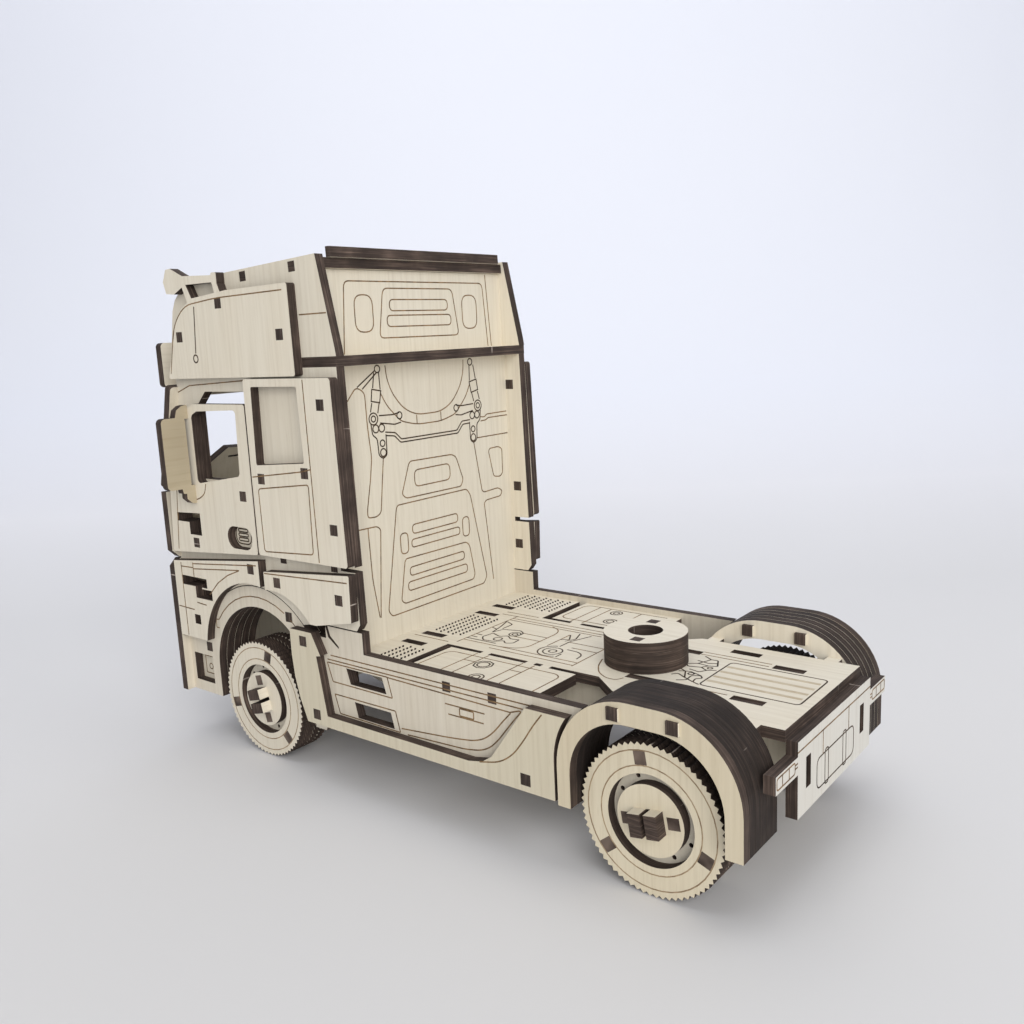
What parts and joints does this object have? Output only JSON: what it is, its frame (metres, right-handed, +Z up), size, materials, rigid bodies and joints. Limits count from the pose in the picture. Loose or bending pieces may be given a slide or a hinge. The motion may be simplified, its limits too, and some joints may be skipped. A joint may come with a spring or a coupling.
{
  "type": "wooden truck construction puzzle",
  "caption": "Laser-cut plywood lorry tractor kit: flat sheets joined by tabs, tall cab with side fairings, slotted deck, coupling disc and two turning toothed wheelsets.",
  "frame": {"origin": "centre of the bounding box's bottom face, on the surface under the wheels", "axes": "+X towards the front of the cab, +Y to the model's left side, +Z up"},
  "size_m": [0.2214, 0.1132, 0.1645],
  "materials": {
    "birch_face": "bare sanded birch plywood faces with charred cut edges",
    "charred_edge": "laser-charred plywood edges, matte"
  },
  "bodies": {
    "truck": {"deck_plate": "birch_face", "chassis_rail_left": "birch_face", "chassis_rail_right": "birch_face", "cross_members": "birch_face", "rear_plate": "birch_face", "fifth_wheel_lower": "birch_face", "fifth_wheel_middle": "birch_face", "fifth_wheel_upper": "birch_face", "rear_mudguard_left_face": "birch_face", "rear_mudguard_left_layers": "charred_edge", "rear_mudguard_right_face": "birch_face", "rear_mudguard_right_layers": "charred_edge", "skirt_left": "birch_face", "skirt_right": "birch_face", "skirt_ribbon_left": "birch_face", "skirt_ribbon_right": "birch_face", "cab_side_left": "birch_face", "cab_side_right": "birch_face", "sleeper_panel_left": "birch_face", "sleeper_panel_right": "birch_face", "door_left": "birch_face", "door_right": "birch_face", "door_mirrors": "birch_face", "lower_panel_left": "birch_face", "lower_panel_right": "birch_face", "front_corner_left": "birch_face", "front_corner_right": "birch_face", "front_arch_left_layers": "charred_edge", "front_arch_right_layers": "charred_edge", "upper_side_left": "birch_face", "upper_side_right": "birch_face", "roof_fairing_left": "birch_face", "roof_fairing_right": "birch_face", "back_wall": "birch_face", "upper_rear_panel": "birch_face", "shelf_plate": "birch_face", "roof_sheet": "birch_face", "roof_lip": "birch_face", "roof_front": "birch_face", "upper_front_panel": "birch_face", "sun_visor": "birch_face", "windscreen": "birch_face", "front_panel": "birch_face", "grille_slats": "birch_face", "bumper": "birch_face", "cab_floor": "birch_face", "pegs": "charred_edge"},
    "front_wheelset": {"front_axle": "birch_face", "front_bearing_discs": "birch_face", "front_left_face": "birch_face", "front_left_tread": "charred_edge", "front_right_face": "birch_face", "front_right_tread": "charred_edge"},
    "rear_wheelset": {"rear_axle": "birch_face", "rear_bearing_discs": "birch_face", "rear_left_face": "birch_face", "rear_left_tread": "charred_edge", "rear_right_face": "birch_face", "rear_right_tread": "charred_edge"}
  },
  "joints": [
    {"name": "front_wheel_spin", "type": "hinge", "parent": "truck", "child": "front_wheelset", "pos_m": [0.06935, 0, 0.02], "axis": [0, 1, 0], "continuous": true},
    {"name": "rear_wheel_spin", "type": "hinge", "parent": "truck", "child": "rear_wheelset", "pos_m": [-0.08065, 0, 0.02], "axis": [0, 1, 0], "continuous": true}
  ]
}
